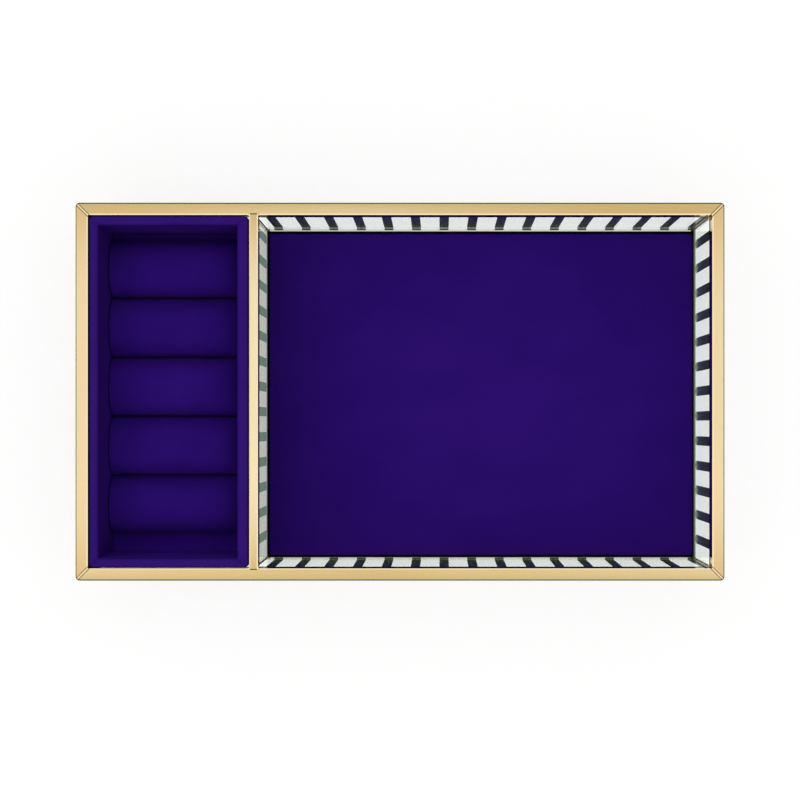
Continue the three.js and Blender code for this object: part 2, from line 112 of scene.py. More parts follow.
def add_node(tree, kind, **values):
    """A node of that kind, with its plain inputs set by name."""
    node = tree.nodes.new(kind)
    for socket, value in values.items():
        node.inputs[socket.replace("_", " ")].default_value = value
    return node


def new_group(name, inputs, outputs):
    """A shader node group with named sockets, and its input and output nodes."""
    tree = bpy.data.node_groups.new(name, "ShaderNodeTree")
    for socket, (kind, value) in inputs.items():
        made = tree.interface.new_socket(socket, in_out="INPUT", socket_type=kind)
        made.default_value = value
    for socket, kind in outputs.items():
        tree.interface.new_socket(socket, in_out="OUTPUT", socket_type=kind)
    return tree, tree.nodes.new("NodeGroupInput"), tree.nodes.new("NodeGroupOutput")


def place_group(tree, group, **values):
    """A copy of the group in a material, with its own values."""
    node = tree.nodes.new("ShaderNodeGroup")
    node.node_tree = group
    for socket, value in values.items():
        node.inputs[socket.replace("_", " ")].default_value = value
    return node


def math_node(tree, operation, first, second):
    """A Math node of two values, each a number or another node's output."""
    node = tree.nodes.new("ShaderNodeMath")
    node.operation = operation
    for socket, value in zip(node.inputs, (first, second)):
        if isinstance(value, (int, float)):
            socket.default_value = value
        else:
            tree.links.new(value, socket)
    return node.outputs["Value"]


def mix_colours(tree, share, first, second):
    """A colour between two others. Each is a colour or another node's output."""
    node = tree.nodes.new("ShaderNodeMix")
    node.data_type = "RGBA"
    tree.links.new(share, node.inputs["Factor"])
    for socket, value in ((node.inputs[6], first), (node.inputs[7], second)):
        if isinstance(value, tuple):
            socket.default_value = value
        else:
            tree.links.new(value, socket)
    return node.outputs[2]


def colour_ramp(tree, share, stops):
    """A colour from a ramp. Its stops are pairs of a share from 0 to 1 and a colour."""
    node = tree.nodes.new("ShaderNodeValToRGB")
    marks = node.color_ramp.elements
    while len(marks) < len(stops):
        marks.new(1.0)
    for mark, (position, colour) in zip(marks, stops):
        mark.position = position
        mark.color = (*colour, 1)
    tree.links.new(share, node.inputs["Fac"])
    return node.outputs["Color"]


def own_place(tree):
    """The place of the shaded point in the object's own metres, as a node with X, Y and Z."""
    place = tree.nodes.new("ShaderNodeTexCoord")
    split = tree.nodes.new("ShaderNodeSeparateXYZ")
    tree.links.new(place.outputs["Object"], split.inputs["Vector"])
    return split.outputs


def stretched_noise(tree, scale_vector, detail, roughness=0.5):
    """Noise in the object's own metres, with its own scale along each axis."""
    place = tree.nodes.new("ShaderNodeTexCoord")
    stretch = tree.nodes.new("ShaderNodeVectorMath")
    stretch.operation = "MULTIPLY"
    tree.links.new(place.outputs["Object"], stretch.inputs[0])
    if isinstance(scale_vector, tuple):
        stretch.inputs[1].default_value = scale_vector
    else:
        tree.links.new(scale_vector, stretch.inputs[1])
    grain = add_node(tree, "ShaderNodeTexNoise", Scale=1.0, Detail=detail, Roughness=roughness)
    tree.links.new(stretch.outputs["Vector"], grain.inputs["Vector"])
    return grain.outputs["Fac"]


print("node helpers are ready")

# %% [markdown]
# ## Floor and light
# The box stands on a plain white ground that glows, as for a cut-out picture. Lamps under a real cloth
# could do the same, but a glow is even and leaves no noise. The sky is a studio tent: bright at half
# height, a little dimmer overhead and dark at the horizon. Overhead, it is brighter to the left and
# right and dimmer to the back. The ground glows more in front of the box and less to its right, which
# evens out what the glass lets through on each side. The camera itself sees a plain pale ground and a
# plain white backdrop, because a glow over full white would eat into the edges of the box.

# %% Make the floor and the sky
FLOOR_HALF = 2.0
FLOOR_GLOW = 1.22
FLOOR_SEEN = 0.755
SKY_LEVELS = [(0.0, 0.08), (0.3, 0.1), (0.5, 0.75), (0.75, 1.0), (0.9, 1.0), (0.975, 0.85), (1.0, 0.85)]
BACKDROP = (0.95, 0.95, 0.95, 1)
NEAR_ZENITH = 0.2
SIDE_GAIN = 0.5
BACK_LOSS = 0.4
FRONT_GAIN = 0.14
RIGHT_LOSS = 0.14
WALL_INSET = 2 * MM
FLOOR_DROP = 0.2 * MM
GROUND_TONE = (0.03, 0.03, 0.03, 1)
GROUND_TONE_SEEN = (0.3, 0.3, 0.3, 1)


def make_white_ground():
    material, shader = new_material("white_ground", Roughness=0.9, Specular_IOR_Level=0.0)
    shader.inputs["Emission Strength"].default_value = FLOOR_GLOW
    tree = material.node_tree
    place = own_place(tree)
    in_front = math_node(tree, "LESS_THAN", place["Y"], cad_low.y + WALL_INSET)
    on_right = math_node(tree, "GREATER_THAN", place["X"], cad_high.x - WALL_INSET)
    glow = math_node(tree, "ADD", math_node(tree, "MULTIPLY", in_front, FRONT_GAIN), 1.0)
    glow = math_node(tree, "SUBTRACT", glow, math_node(tree, "MULTIPLY", on_right, RIGHT_LOSS))
    seen = FLOOR_SEEN / FLOOR_GLOW
    by_camera = tree.nodes.new("ShaderNodeLightPath").outputs["Is Camera Ray"]
    tone = mix_colours(tree, by_camera, GROUND_TONE, GROUND_TONE_SEEN)
    light = mix_colours(tree, by_camera, glow, (seen, seen, seen, 1))
    tree.links.new(tone, shader.inputs["Base Color"])
    tree.links.new(light, shader.inputs["Emission Color"])
    return material


def make_floor():
    half = FLOOR_HALF
    mesh = bpy.data.meshes.new("studio_floor")
    corners = [(-half, -half, 0), (half, -half, 0), (half, half, 0), (-half, half, 0)]
    mesh.from_pydata(corners, [], [(0, 1, 2, 3)])
    mesh.materials.append(make_white_ground())
    floor = bpy.data.objects.new("studio_floor", mesh)
    floor.location.z = -FLOOR_DROP
    bpy.context.scene.collection.objects.link(floor)


def make_sky():
    world = bpy.data.worlds.new("studio_sky")
    bpy.context.scene.world = world
    world.use_nodes = True
    tree = world.node_tree
    direction = tree.nodes.new("ShaderNodeTexCoord")
    split = tree.nodes.new("ShaderNodeSeparateXYZ")
    tree.links.new(direction.outputs["Generated"], split.inputs["Vector"])
    stops = [(rise, (strength, strength, strength)) for rise, strength in SKY_LEVELS]
    level = colour_ramp(tree, split.outputs["Z"], stops)
    sideways = math_node(tree, "ABSOLUTE", split.outputs["X"], 0)
    sideways = math_node(tree, "MINIMUM", sideways, NEAR_ZENITH)
    backward = math_node(tree, "MINIMUM", split.outputs["Y"], NEAR_ZENITH)
    backward = math_node(tree, "MAXIMUM", backward, -NEAR_ZENITH)
    gain = math_node(tree, "ADD", math_node(tree, "MULTIPLY", sideways, SIDE_GAIN), 1.0)
    gain = math_node(tree, "SUBTRACT", gain, math_node(tree, "MULTIPLY", backward, BACK_LOSS))
    background = tree.nodes["Background"]
    by_camera = tree.nodes.new("ShaderNodeLightPath").outputs["Is Camera Ray"]
    tree.links.new(mix_colours(tree, by_camera, level, BACKDROP), background.inputs["Color"])
    tree.links.new(gain, background.inputs["Strength"])


make_floor()
make_sky()
bpy.context.scene.view_settings.view_transform = "Standard"
bpy.context.scene.cycles.max_bounces = 24
bpy.context.scene.cycles.transmission_bounces = 24
bpy.context.scene.cycles.glossy_bounces = 8
print("floor and sky are in place")

# %% [markdown]
# ## Brass
# The rim is drawn brass strip with a satin polish: fine lines run along each bar, and its tone drifts
# from end to end. A photographed texture could show this, but noise in the object's own metres needs
# no unwrapping. One node group holds the lines and the drift. Each bar direction has a material of its
# own, because the lines follow the bar. The tones differ too, as painted reflections: the front and back
# bars differ in tone, and the side bars and the cap are paler. The front and back bars are painted
# darker towards the outside, as painted shade. The front bar pales towards its ends, and the back bar,
# the side bars and the divider's cap darken there, also painted reflections. Single faces get other
# finishes: an outer chamfer on the long bars painted dark as shade, inner chamfers with a painted
# highlight that shows a bright line, and mirror-smooth insides, which look dark from above because they
# mirror the velvet.

# %% The drawn brass group
BAR_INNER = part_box("rim_back")[0].y
BAR_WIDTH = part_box("rim_back")[1].y - BAR_INNER
LINES_SHARE = 0.1
LINES_ROUGHNESS = 0.12
DRIFT_SCALE = (9, 9, 9)


def build_drawn_brass():
    tree, given, made = new_group(
        "drawn_brass",
        {
            "Light Tone": ("NodeSocketColor", (0.82, 0.64, 0.34, 1)),
            "Deep Tone": ("NodeSocketColor", (0.70, 0.50, 0.22, 1)),
            "Line Scale": ("NodeSocketVector", (20, 3000, 3000)),
            "Least Roughness": ("NodeSocketFloat", 0.2),
            "Outer Tone": ("NodeSocketColor", (0.66, 0.47, 0.19, 1)),
            "Outer Share": ("NodeSocketFloat", 0.0),
            "Outer From": ("NodeSocketFloat", BAR_INNER),
            "Outer Reach": ("NodeSocketFloat", BAR_WIDTH),
            "End Tone": ("NodeSocketColor", (0.66, 0.47, 0.19, 1)),
            "End Share": ("NodeSocketFloat", 0.0),
            "End Middle": ("NodeSocketFloat", 0.0),
        },
        {"Color": "NodeSocketColor", "Roughness": "NodeSocketFloat", "Height": "NodeSocketFloat"},
    )
    lines = stretched_noise(tree, given.outputs["Line Scale"], 3)
    drift = stretched_noise(tree, DRIFT_SCALE, 2)
    from_lines = math_node(tree, "MULTIPLY", lines, LINES_SHARE)
    share = math_node(tree, "ADD", from_lines, math_node(tree, "MULTIPLY", drift, 1 - LINES_SHARE))
    place = own_place(tree)
    # Painted reflections: the End tone mixes over the bar's own colour towards its ends.
    endward = math_node(tree, "SUBTRACT", place["X"], given.outputs["End Middle"])
    endward = math_node(tree, "DIVIDE", math_node(tree, "ABSOLUTE", endward, 0), cad_high.x)
    endward = math_node(tree, "MINIMUM", endward, 1.0)
    endward = math_node(tree, "MULTIPLY", endward, given.outputs["End Share"])
    # Painted shade: darker towards the outside of a bar, or towards the ends of the side bars and the cap.
    from_middle = math_node(tree, "ABSOLUTE", place["Y"], 0)
    outward = math_node(tree, "SUBTRACT", from_middle, given.outputs["Outer From"])
    outward = math_node(tree, "DIVIDE", outward, given.outputs["Outer Reach"])
    outward = math_node(tree, "MINIMUM", math_node(tree, "MAXIMUM", outward, 0.0), 1.0)
    outward = math_node(tree, "MULTIPLY", outward, outward)
    outward = math_node(tree, "MULTIPLY", outward, given.outputs["Outer Share"])
    colour = mix_colours(tree, share, given.outputs["Deep Tone"], given.outputs["Light Tone"])
    colour = mix_colours(tree, endward, colour, given.outputs["End Tone"])
    colour = mix_colours(tree, outward, colour, given.outputs["Outer Tone"])
    roughness = math_node(tree, "MULTIPLY", lines, LINES_ROUGHNESS)
    roughness = math_node(tree, "ADD", roughness, given.outputs["Least Roughness"])
    tree.links.new(colour, made.inputs["Color"])
    tree.links.new(roughness, made.inputs["Roughness"])
    tree.links.new(lines, made.inputs["Height"])
    return tree


drawn_brass = build_drawn_brass()
print("brass group inputs:", [s.name for s in drawn_brass.interface.items_tree])

# %% Brass materials and the pieces they go on
BUMP_DISTANCE = 0.02 * MM


def brass_material(name, line_scale, **values):
    material, shader = new_material(name, Metallic=1.0)
    tree = material.node_tree
    group = place_group(tree, drawn_brass, Line_Scale=line_scale, **values)
    bump = add_node(tree, "ShaderNodeBump", Strength=0.05, Distance=BUMP_DISTANCE)
    tree.links.new(group.outputs["Color"], shader.inputs["Base Color"])
    tree.links.new(group.outputs["Roughness"], shader.inputs["Roughness"])
    tree.links.new(group.outputs["Height"], bump.inputs["Height"])
    tree.links.new(bump.outputs["Normal"], shader.inputs["Normal"])
    return material


def finish_nodes(material, names):
    """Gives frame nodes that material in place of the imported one."""
    for name in names:
        mesh = nodes_of_frame[name].data
        mesh.materials.clear()
        mesh.materials.append(material)


RIM_BARS = ["rim_front", "rim_right", "rim_back", "rim_left"]
FINE, COARSE = 2600, 25
# Painted shade: the front and back bars, sills and posts are painted darker towards their outside.
OUTER_SHADE = {"Outer_Share": 0.85}
# Painted reflections: WARM, FRONT, BACK, PALE and PALEST are lighter and darker copies of one brass tone.
WARM = {"Light_Tone": (0.94, 0.73, 0.375, 1), "Deep_Tone": (0.66, 0.47, 0.19, 1), **OUTER_SHADE}
FRONT = {"Light_Tone": (0.90, 0.68, 0.322, 1), "Deep_Tone": (0.634, 0.437, 0.163, 1), **OUTER_SHADE}
# Painted reflections: the front bar is painted paler towards its ends; the back bar, side bars and cap
# darker.
FRONT_ENDS = {"End_Tone": (0.824, 0.642, 0.333, 1), "End_Share": 0.9}
BACK = {"Light_Tone": (0.987, 0.788, 0.446, 1), "Deep_Tone": (0.693, 0.508, 0.226, 1), **OUTER_SHADE}
BACK_ENDS = {"End_Tone": (0.675, 0.488, 0.193, 1), "End_Share": 0.95, "End_Middle": -0.03}
PALE = {"Light_Tone": (0.95, 0.77, 0.45, 1), "Deep_Tone": (0.89, 0.70, 0.39, 1)}
PALEST = {"Light_Tone": (1.0, 0.87, 0.54, 1), "Deep_Tone": (0.97, 0.81, 0.47, 1)}
ENDS_REACH = {"Outer_From": 0.03, "Outer_Reach": 0.041}
CAP_ENDS = {"Outer_Tone": (0.72, 0.53, 0.235, 1), "Outer_Share": 1.0, **ENDS_REACH}
SIDE_ENDS = {"Outer_Tone": (0.76, 0.53, 0.24, 1), "Outer_Share": 0.85, **ENDS_REACH}
# Painted shade: a near-black brass for the outer chamfers and the cap's ends.
EDGE = {"Light_Tone": (0.18, 0.13, 0.05, 1), "Deep_Tone": (0.11, 0.08, 0.03, 1)}
DARK = {"Light_Tone": (0.50, 0.35, 0.13, 1), "Deep_Tone": (0.14, 0.09, 0.03, 1)}
MIRROR = {"Light_Tone": (0.80, 0.60, 0.28, 1), "Deep_Tone": (0.70, 0.50, 0.21, 1)}
# Painted highlight: a pale brass that draws a bright line along the inner chamfers and the cap's chamfers.
BRIGHT = {"Light_Tone": (0.97, 0.80, 0.50, 1), "Deep_Tone": (0.91, 0.73, 0.44, 1)}
brass_lengthwise = brass_material("brass_lengthwise", (COARSE, FINE, FINE), **WARM)
brass_front = brass_material("brass_front", (COARSE, FINE, FINE), **FRONT, **FRONT_ENDS)
brass_back = brass_material("brass_back", (COARSE, FINE, FINE), **BACK, **BACK_ENDS)
brass_crosswise = brass_material("brass_crosswise", (FINE, COARSE, FINE), **PALE, **SIDE_ENDS)
brass_upright = brass_material("brass_upright", (FINE, FINE, COARSE), **WARM)
brass_cap = brass_material("brass_cap", (FINE, COARSE, FINE), **PALEST, **CAP_ENDS)
brass_solder = brass_material("brass_solder", (400, 400, 400), **PALE)
brass_seam = brass_material("brass_seam", (FINE, FINE, COARSE), **DARK)
brass_edge = brass_material("brass_edge", (FINE, FINE, FINE), **EDGE)
brass_painted_highlight = brass_material("brass_painted_highlight", (COARSE, COARSE, FINE), **BRIGHT)
brass_mirror = brass_material("brass_mirror", (COARSE, COARSE, FINE), Least_Roughness=0.0, **MIRROR)


def nodes_named(start):
    return [name for name in nodes_of_frame if name.startswith(start)]


def finish_faces(material, names, chosen):
    """Gives that material only to the faces that the test picks by middle and normal."""
    picked = 0
    for name in names:
        mesh = nodes_of_frame[name].data
        mesh.materials.append(material)
        slot = len(mesh.materials) - 1
        for face in mesh.polygons:
            if chosen(face.center, face.normal):
                face.material_index = slot
                picked += 1
    print(material.name, "on faces:", picked)


def is_outer_edge(middle, normal):
    """True on the chamfer along the outside of the front and back bars, which gets painted dark shade."""
    return 0.2 < normal.z < 0.95 and normal.y * math.copysign(1, middle.y) > 0.3


def is_inner_side(middle, normal):
    """True on the upright inside of the rim, which mirrors the velvet when seen from above."""
    return abs(normal.z) < 0.3 and normal.x * middle.x + normal.y * middle.y < -0.05


def is_inner_edge(middle, normal):
    """True on the low chamfer along the inside of the rim, which gets a painted highlight."""
    return 0.5 < normal.z < 0.97 and normal.x * middle.x + normal.y * middle.y < -0.005


def is_lip_edge(middle, normal):
    """True on the ends of the cap, which lap over the rim and get a painted dark outline."""
    return abs(normal.y) > 0.3 and normal.z > -0.5


def is_cap_edge(middle, normal):
    """True on the chamfers along the cap, which get a painted highlight."""
    return 0.3 < normal.z < 0.97 and abs(normal.x) > 0.2


def is_cap_side(middle, normal):
    """True on the cap's upright right side."""
    return normal.x > 0.9


finish_nodes(brass_front, ["rim_front"])
finish_nodes(brass_back, ["rim_back"])
finish_nodes(brass_lengthwise, ["sill_front", "sill_back"])
finish_nodes(brass_crosswise, ["rim_left", "rim_right", "sill_left", "sill_right"])
finish_nodes(brass_upright, nodes_named("corner_post"))
finish_nodes(brass_cap, ["divider_cap"])
finish_nodes(brass_solder, nodes_named("rim_bead"))
finish_nodes(brass_seam, nodes_named("corner_seam"))
finish_faces(brass_edge, nodes_named("rim_"), is_outer_edge)
finish_faces(brass_mirror, RIM_BARS, is_inner_side)
finish_faces(brass_painted_highlight, RIM_BARS, is_inner_edge)
finish_faces(brass_edge, ["divider_cap"], is_lip_edge)
finish_faces(brass_painted_highlight, ["divider_cap"], is_cap_edge)
finish_faces(brass_mirror, ["divider_cap"], is_cap_side)

# %% [markdown]
# ## Glass
# The walls are clear glass with V cuts on their outer faces. Seen steeply from above, the flat strips
# let the white ground through. The sloping cuts are rough and let little light through. Their colour is
# painted: dark stripes for the dark things the cuts reflect, greener and paler towards the foot as
# painted light, with pale painted tents at the foot of each cut. The divider's shallow cuts get a dark
# tint as painted shade. Real glass has an index of 1.5, but at this grazing view it splits each ray so
# often that the strips come out as speckle. So the index is low, the tint sits in the surface instead of
# the volume, and the outer strips get their gloss from a clear coat. Light that runs down inside a pane
# comes out at its foot, so the ground edge there is given a painted glow, with painted shadow under
# each cut.

# %% Glass material
GLASS_INDEX = 1.12
OUTER_INDEX = 1.0
OUTER_GLOSS = 1.5
GLASS_TINT = (0.955, 0.99, 0.965, 1)
# Painted shade: a dark tint on the divider's cut faces only.
DIVIDER_SHADE_TINT = (0.07, 0.135, 0.105, 1)
PANE_INNER_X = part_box("glass_right")[0].x
PANE_INNER_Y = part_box("glass_back")[0].y
PANE_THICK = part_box("glass_back")[1].y - PANE_INNER_Y
PANE_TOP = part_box("glass_back")[1].z
TENT_RISE = 0.26


def build_pane_depth():
    """How deep a point lies in a wall pane: 0 at the inner face and 1 at the outer face."""
    tree, _, made = new_group("pane_depth", {}, {"Depth": "NodeSocketFloat"})
    place = own_place(tree)
    past_x = math_node(tree, "SUBTRACT", math_node(tree, "ABSOLUTE", place["X"], 0), PANE_INNER_X)
    past_y = math_node(tree, "SUBTRACT", math_node(tree, "ABSOLUTE", place["Y"], 0), PANE_INNER_Y)
    depth = math_node(tree, "DIVIDE", math_node(tree, "MAXIMUM", past_x, past_y), PANE_THICK)
    tree.links.new(depth, made.inputs["Depth"])
    return tree


def build_cut_shadow():
    """Where a cut of the long panes darkens their foot: 1 under each cut and 0 between the cuts."""
    tree, _, made = new_group("cut_shadow", {}, {"Share": "NodeSocketFloat"})
    place = own_place(tree)
    along = math_node(tree, "SUBTRACT", place["X"], CUT_PLACES[0] - CUT_PITCH / 2)
    along = math_node(tree, "FLOORED_MODULO", along, CUT_PITCH)
    from_cut = math_node(tree, "ABSOLUTE", math_node(tree, "SUBTRACT", along, CUT_PITCH / 2), 0)
    under_cut = math_node(tree, "LESS_THAN", from_cut, CUT_HALF)
    outward = math_node(tree, "ABSOLUTE", place["Y"], 0)
    is_near = math_node(tree, "GREATER_THAN", outward, PANE_INNER_Y - SHADOW_REACH)
    tree.links.new(math_node(tree, "MULTIPLY", under_cut, is_near), made.inputs["Share"])
    return tree


def cut_places():
    """Where the cuts of the back pane are deepest, from left to right."""
    places = set()
    for vertex in nodes_of_frame["glass_back"].data.vertices:
        depth = (vertex.co.y - PANE_INNER_Y) / PANE_THICK
        if 0.1 < depth < 0.9:
            places.add(round(vertex.co.x, 5))
    return sorted(places)


CUT_PLACES = cut_places()
CUT_PITCH = CUT_PLACES[1] - CUT_PLACES[0]
CUT_HALF = 1.9 * MM
SHADOW_REACH = 0.4 * MM
CUT_SHADE = (0.05, 0.075, 0.055, 1)
pane_depth = build_pane_depth()
cut_shadow = build_cut_shadow()


def shade_cuts(material):
    """Darkens a foot's colour under the cuts, as painted shadow."""
    tree = material.node_tree
    shader = tree.nodes["Principled BSDF"]
    plain = shader.inputs["Base Color"].links[0].from_socket
    share = place_group(tree, cut_shadow).outputs["Share"]
    tree.links.new(mix_colours(tree, share, plain, CUT_SHADE), shader.inputs["Base Color"])


def make_clear_glass():
    material, _ = new_material(
        "clear_glass", Base_Color=GLASS_TINT, Roughness=0.0, IOR=GLASS_INDEX, Transmission_Weight=1.0
    )
    return material


def make_outer_glass():
    material, shader = new_material(
        "outer_glass", Base_Color=GLASS_TINT, Roughness=0.0, IOR=OUTER_INDEX, Transmission_Weight=1.0
    )
    shader.inputs["Coat Weight"].default_value = 1.0
    shader.inputs["Coat IOR"].default_value = OUTER_GLOSS
    return material


def make_shade_tint_cut():
    material, _ = new_material(
        "shade_tint_cut", Base_Color=DIVIDER_SHADE_TINT, Roughness=0.0, IOR=OUTER_INDEX, Transmission_Weight=1.0
    )
    return material


def make_painted_cut(name, tones):
    material, shader = new_material(
        name, Roughness=0.5, IOR=GLASS_INDEX, Transmission_Weight=0.05, Specular_IOR_Level=0.0
    )
    tree = material.node_tree
    rise = math_node(tree, "DIVIDE", own_place(tree)["Z"], PANE_TOP)
    ragged = math_node(tree, "MULTIPLY", stretched_noise(tree, (300, 300, 60), 2), 0.04)
    depth = place_group(tree, pane_depth).outputs["Depth"]
    into_cut = math_node(tree, "SUBTRACT", 1.0, depth)
    # Painted highlight: the pale foot colour rises as a tent up the middle of each cut.
    tent = math_node(tree, "SUBTRACT", ragged, math_node(tree, "MULTIPLY", into_cut, TENT_RISE))
    colour = colour_ramp(tree, math_node(tree, "ADD", rise, tent), tones)
    tree.links.new(colour, shader.inputs["Base Color"])
    return material


def add_glow(material, strength):
    """Gives a surface a painted glow in its own colour, like the foot of a pane."""
    tree = material.node_tree
    shader = tree.nodes["Principled BSDF"]
    colour = shader.inputs["Base Color"].links[0].from_socket
    tree.links.new(colour, shader.inputs["Emission Color"])
    shader.inputs["Emission Strength"].default_value = strength


def make_ground_edge(name, tones):
    material, shader = new_material(name, Roughness=0.9, Specular_IOR_Level=0.0)
    tree = material.node_tree
    grain = math_node(tree, "MULTIPLY", stretched_noise(tree, (700, 700, 700), 3), 0.1)
    depth = place_group(tree, pane_depth).outputs["Depth"]
    colour = colour_ramp(tree, math_node(tree, "ADD", depth, grain), tones)
    tree.links.new(colour, shader.inputs["Base Color"])
    return material


def is_foot(middle, normal):
    """True on a pane's underside."""
    return normal.z < -0.9


def is_outer_flat(middle, normal):
    """True on the polished strips between the cuts, outside."""
    return max(abs(normal.x), abs(normal.y)) > 0.9 and middle.x * normal.x + middle.y * normal.y > 0


def is_wall_cut(middle, normal):
    """True on the slopes of a wall's V cuts."""
    return min(abs(normal.x), abs(normal.y)) > 0.4


def is_divider_cut(middle, normal):
    """True on the low slopes of the divider's cuts."""
    return abs(normal.x) > 0.5 and abs(normal.y) > 0.03


# Painted colours of the wall cuts: dark for the reflections they stand in for, paler towards the foot as
# painted light.
LONG_CUT = [(0.1, (0.09, 0.135, 0.095)), (0.45, (0.05, 0.08, 0.05)), (1.0, (0.03, 0.05, 0.03))]
SHORT_CUT = [(0.1, (0.80, 0.85, 0.66)), (0.18, (0.11, 0.16, 0.12)), *LONG_CUT[1:]]
# The feet are pale ground glass, darker towards the inner face, with a painted glow; long feet get painted
# shadow under each cut.
LONG_FOOT = [(0.0, (0.46, 0.49, 0.39)), (0.3, (0.62, 0.65, 0.56))]
SHORT_FOOT = [
    (0.0, (0.055, 0.07, 0.055)),
    (0.35, (0.11, 0.14, 0.105)),
    (0.7, (0.28, 0.32, 0.25)),
    (1.0, (0.72, 0.76, 0.66)),
]
FOOT_GLOW = 0.9
panes = nodes_named("glass_")
long_walls = ["glass_front", "glass_back"]
short_walls = ["glass_left", "glass_right"]
long_foot = make_ground_edge("long_foot", LONG_FOOT)
short_foot = make_ground_edge("short_foot", SHORT_FOOT)
shade_cuts(long_foot)
add_glow(long_foot, FOOT_GLOW)
add_glow(short_foot, FOOT_GLOW)
finish_nodes(make_clear_glass(), panes)
finish_faces(make_outer_glass(), panes, is_outer_flat)
finish_faces(long_foot, long_walls + ["glass_divider"], is_foot)
finish_faces(short_foot, short_walls, is_foot)
finish_faces(make_painted_cut("long_cut", LONG_CUT), long_walls, is_wall_cut)
finish_faces(make_painted_cut("short_cut", SHORT_CUT), short_walls, is_wall_cut)
finish_faces(make_shade_tint_cut(), ["glass_divider"], is_divider_cut)
print("glass panes:", panes)

# %% [markdown]
# ## Boards
# The base and the pad's board are black fibreboard, and the ring tray is made of pale paper-faced
# board. Both show a faint fibre, which is plain noise, so they share one node group for it. Small dull
# things further down, such as the putty, use the group too, and so does a brown lacquer.

# %% The board fibre group and its materials


def build_board_fibre():
    tree, given, made = new_group(
        "board_fibre",
        {
            "Light Tone": ("NodeSocketColor", (0.8, 0.8, 0.8, 1)),
            "Dark Tone": ("NodeSocketColor", (0.6, 0.6, 0.6, 1)),
        },
        {"Color": "NodeSocketColor", "Height": "NodeSocketFloat"},
    )
    fibre = stretched_noise(tree, (900, 900, 300), 4, 0.6)
    colour = mix_colours(tree, fibre, given.outputs["Dark Tone"], given.outputs["Light Tone"])
    tree.links.new(colour, made.inputs["Color"])
    tree.links.new(fibre, made.inputs["Height"])
    return tree


board_fibre = build_board_fibre()


def board_material(name, light_tone, dark_tone):
    material, shader = new_material(name, Roughness=0.85, Specular_IOR_Level=0.1)
    tree = material.node_tree
    group = place_group(tree, board_fibre, Light_Tone=light_tone, Dark_Tone=dark_tone)
    bump = add_node(tree, "ShaderNodeBump", Strength=0.4, Distance=0.05 * MM)
    tree.links.new(group.outputs["Color"], shader.inputs["Base Color"])
    tree.links.new(group.outputs["Height"], bump.inputs["Height"])
    tree.links.new(bump.outputs["Normal"], shader.inputs["Normal"])
    return material


black_board = board_material("black_board", (0.006, 0.005, 0.007, 1), (0.003, 0.002, 0.003, 1))
pale_board = board_material("pale_board", (0.92, 0.92, 0.89, 1), (0.84, 0.84, 0.81, 1))
lacquer = board_material("brown_lacquer", (0.02, 0.011, 0.003, 1), (0.012, 0.006, 0.002, 1))
finish_nodes(black_board, ["base_panel", "pad_board"])
finish_nodes(pale_board, ["tray_floor"])
print("boards: base, pad and tray floor")

# %% [markdown]
# ## Velvet
# Velvet is a short upright pile. Where it has been stroked, patches lean and catch the light in
# another way, so the colour drifts in soft clouds, and the tips give a fine grain. Hair strands could
# show the pile, but at this size a sheen does it at no cost. One node group makes the clouds and the
# grain. The pad, the rolls and the tray lining each use it with their own tones. In the tray, the floor
# and the inside of the front wall get lighter tones, and the rim lighter tones of its own: painted light.

# %% The velvet pile group and its materials
TIPS_SHARE = 0.4


def build_velvet_pile():
    tree, given, made = new_group(
        "velvet_pile",
        {
            "Lit Tone": ("NodeSocketColor", (0.036, 0.0075, 0.21, 1)),
            "Deep Tone": ("NodeSocketColor", (0.019, 0.003, 0.13, 1)),
            "Cloud Scale": ("NodeSocketVector", (40, 40, 40)),
        },
        {"Color": "NodeSocketColor", "Height": "NodeSocketFloat"},
    )
    clouds = stretched_noise(tree, given.outputs["Cloud Scale"], 3)
    tips = stretched_noise(tree, (2600, 2600, 2600), 2)
    from_tips = math_node(tree, "MULTIPLY", tips, TIPS_SHARE)
    share = math_node(tree, "ADD", math_node(tree, "MULTIPLY", clouds, 1 - TIPS_SHARE), from_tips)
    colour = mix_colours(tree, share, given.outputs["Deep Tone"], given.outputs["Lit Tone"])
    tree.links.new(colour, made.inputs["Color"])
    tree.links.new(tips, made.inputs["Height"])
    return tree


velvet_pile = build_velvet_pile()
VELVET_SHEEN = {"Sheen_Roughness": 0.4, "Sheen_Tint": (0.35, 0.16, 0.9, 1)}


def velvet_material(name, sheen, **values):
    material, shader = new_material(name, Roughness=0.95, Sheen_Weight=sheen, **VELVET_SHEEN)
    shader.inputs["Specular IOR Level"].default_value = 0.0
    tree = material.node_tree
    group = place_group(tree, velvet_pile, **values)
    bump = add_node(tree, "ShaderNodeBump", Strength=0.1, Distance=0.15 * MM)
    tree.links.new(group.outputs["Color"], shader.inputs["Base Color"])
    tree.links.new(group.outputs["Height"], bump.inputs["Height"])
    tree.links.new(bump.outputs["Normal"], shader.inputs["Normal"])
    return material


